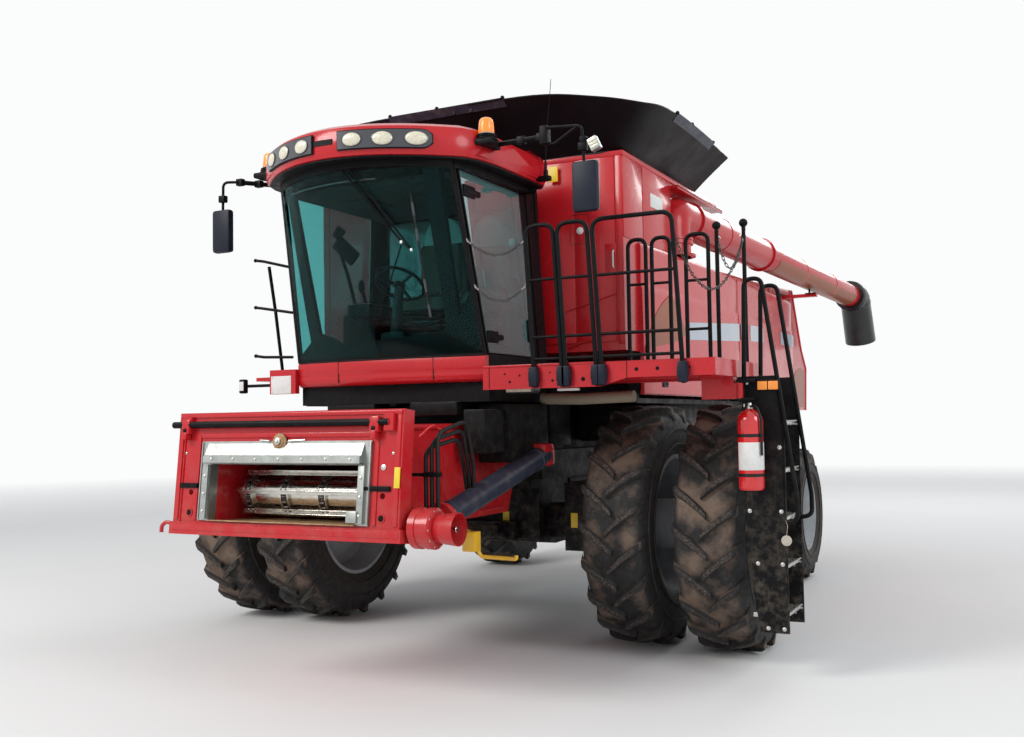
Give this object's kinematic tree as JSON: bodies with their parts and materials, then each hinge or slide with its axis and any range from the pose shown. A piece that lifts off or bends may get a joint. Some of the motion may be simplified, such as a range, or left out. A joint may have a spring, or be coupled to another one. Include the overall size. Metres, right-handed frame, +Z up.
{
  "type": "combine harvester",
  "caption": "Self-propelled combine harvester with dual front wheels, a raised feeder house with no header, a glazed cab, a grain tank with its extension up and a stowed unloading auger.",
  "frame": {"origin": "bottom centre of the machine's bounding box, on the ground under the tyres", "axes": "+X to the machine's left side, +Y to its rear, so the feeder house points to -Y, +Z up"},
  "size_m": [5.569, 10.488, 4.5],
  "materials": {
    "red_paint": "gloss red paint",
    "black_paint": "satin black paint",
    "rail_paint": "satin near-black paint",
    "rim_paint": "satin silver-grey paint",
    "tyre_rubber": "black tyre rubber with dried mud",
    "engine_paint": "matt grey paint",
    "black_rubber": "black rubber sheet",
    "galvanised": "galvanised sheet",
    "worn_steel": "worn steel",
    "rod_chrome": "bright piston rod",
    "green_glass": "green-tinted glass",
    "black_plastic": "matt black plastic",
    "lamp_grey": "dark grey panels",
    "amber": "clear amber plastic",
    "seat_cloth": "grey-green cloth",
    "extinguisher_red": "gloss red paint",
    "cast_black": "black-painted castings"
  },
  "bodies": {
    "machine": {"threshing_body": "black_paint", "chassis": "black_paint", "front_axle": "cast_black", "rear_axle": "cast_black", "engine_block": "engine_paint", "rear_hood": "red_paint", "grain_tank": "red_paint", "tank_extension": "black_rubber", "straw_chopper": "black_paint", "cab_base": "black_paint", "cab_fascia": "red_paint", "cab_frame": "black_plastic", "cab_glass": "green_glass", "cab_roof": "red_paint", "roof_lamps": "lamp_grey", "beacons": "amber", "mirrors": "black_plastic", "seat": "seat_cloth", "cab_controls": "black_plastic", "platform": "red_paint", "handrails": "rail_paint"},
    "feeder": {"feeder_house": "red_paint", "header_face": "red_paint", "feeder_trim": "galvanised", "feeder_chain": "worn_steel", "header_drive": "red_paint"},
    "lift_barrel_pair": {"lift_barrels": "black_paint"},
    "lift_rod_pair": {"lift_rods": "rod_chrome"},
    "auger": {"auger_tube": "red_paint", "auger_spout": "black_rubber"},
    "door": {"cab_door": "black_plastic", "door_glass": "green_glass"},
    "swing_ladder": {"ladder": "rail_paint", "fire_extinguisher": "extinguisher_red"},
    "front_wheels_left": {"front_tyres_left": "tyre_rubber", "front_rims_left": "rim_paint"},
    "front_wheels_right": {"front_tyres_right": "tyre_rubber", "front_rims_right": "rim_paint"},
    "steering_left": {"knuckle_left": "cast_black"},
    "steering_right": {"knuckle_right": "cast_black"},
    "rear_wheel_left": {"rear_tyre_left": "tyre_rubber", "rear_rim_left": "rim_paint"},
    "rear_wheel_right": {"rear_tyre_right": "tyre_rubber", "rear_rim_right": "rim_paint"},
    "door_front_left": {"side_door_front_left": "red_paint"},
    "door_rear_left": {"side_door_rear_left": "red_paint"},
    "door_front_right": {"side_door_front_right": "red_paint"},
    "door_rear_right": {"side_door_rear_right": "red_paint"}
  },
  "joints": [
    {"name": "feeder_lift", "type": "hinge", "parent": "machine", "child": "feeder", "pos_m": [-0.2145, -2.962, 1.69], "axis": [1, 0, 0], "range_deg": [-2, 22]},
    {"name": "lift_barrel_tilt", "type": "hinge", "parent": "machine", "child": "lift_barrel_pair", "pos_m": [-0.2145, -2.922, 0.9], "axis": [1, 0, 0], "range_deg": [-2.2, 23.2]},
    {"name": "lift_rod_slide", "type": "slide", "parent": "lift_barrel_pair", "child": "lift_rod_pair", "axis": [0, -0.9963, 0.0863], "range_m": [-0.303, 0.029]},
    {"name": "auger_swing", "type": "hinge", "parent": "machine", "child": "auger", "pos_m": [1.2255, -1.342, 3.705], "axis": [0, 0, -1], "range_deg": [0, 100]},
    {"name": "cab_door_hinge", "type": "hinge", "parent": "machine", "child": "door", "pos_m": [0.6055, -4.02589, 2.995], "axis": [0.0562, 0.2069, -0.9768], "range_deg": [0, 60]},
    {"name": "ladder_swing", "type": "hinge", "parent": "machine", "child": "swing_ladder", "pos_m": [2.4055, -3.467, 2], "axis": [0, 0, -1], "range_deg": [0, 90]},
    {"name": "front_wheels_left_spin", "type": "hinge", "parent": "machine", "child": "front_wheels_left", "pos_m": [1.3555, -2.442, 0.96], "axis": [1, 0, 0], "continuous": true},
    {"name": "front_wheels_right_spin", "type": "hinge", "parent": "machine", "child": "front_wheels_right", "pos_m": [-1.7845, -2.442, 0.96], "axis": [1, 0, 0], "continuous": true},
    {"name": "steer_left", "type": "hinge", "parent": "machine", "child": "steering_left", "pos_m": [1.1855, 1.418, 0.785], "axis": [0, 0, 1], "range_deg": [-40, 40]},
    {"name": "steer_right", "type": "hinge", "parent": "machine", "child": "steering_right", "pos_m": [-1.6145, 1.418, 0.785], "axis": [0, 0, 1], "range_deg": [-40, 40]},
    {"name": "rear_wheel_left_spin", "type": "hinge", "parent": "steering_left", "child": "rear_wheel_left", "pos_m": [1.5855, 1.418, 0.725], "axis": [1, 0, 0], "continuous": true},
    {"name": "rear_wheel_right_spin", "type": "hinge", "parent": "steering_right", "child": "rear_wheel_right", "pos_m": [-2.0145, 1.418, 0.725], "axis": [1, 0, 0], "continuous": true},
    {"name": "side_door_front_left_hinge", "type": "hinge", "parent": "machine", "child": "door_front_left", "pos_m": [1.33109, -2.422, 2.6], "axis": [0, 0, -1], "range_deg": [0, 85]},
    {"name": "side_door_rear_left_hinge", "type": "hinge", "parent": "machine", "child": "door_rear_left", "pos_m": [1.3855, 0.348, 2.6], "axis": [0, 0, -1], "range_deg": [0, 85]},
    {"name": "side_door_front_right_hinge", "type": "hinge", "parent": "machine", "child": "door_front_right", "pos_m": [-1.76009, -2.422, 2.6], "axis": [0, 0, 1], "range_deg": [0, 85]},
    {"name": "side_door_rear_right_hinge", "type": "hinge", "parent": "machine", "child": "door_rear_right", "pos_m": [-1.8145, 0.348, 2.6], "axis": [0, 0, 1], "range_deg": [0, 85]}
  ],
  "couplings": [
    {"joint": "lift_barrel_tilt", "follows": "feeder_lift", "ratio": 1.0444},
    {"joint": "lift_rod_slide", "follows": "feeder_lift", "m_per_rad": -0.7846},
    {"joint": "steer_right", "follows": "steer_left", "ratio": 1}
  ]
}
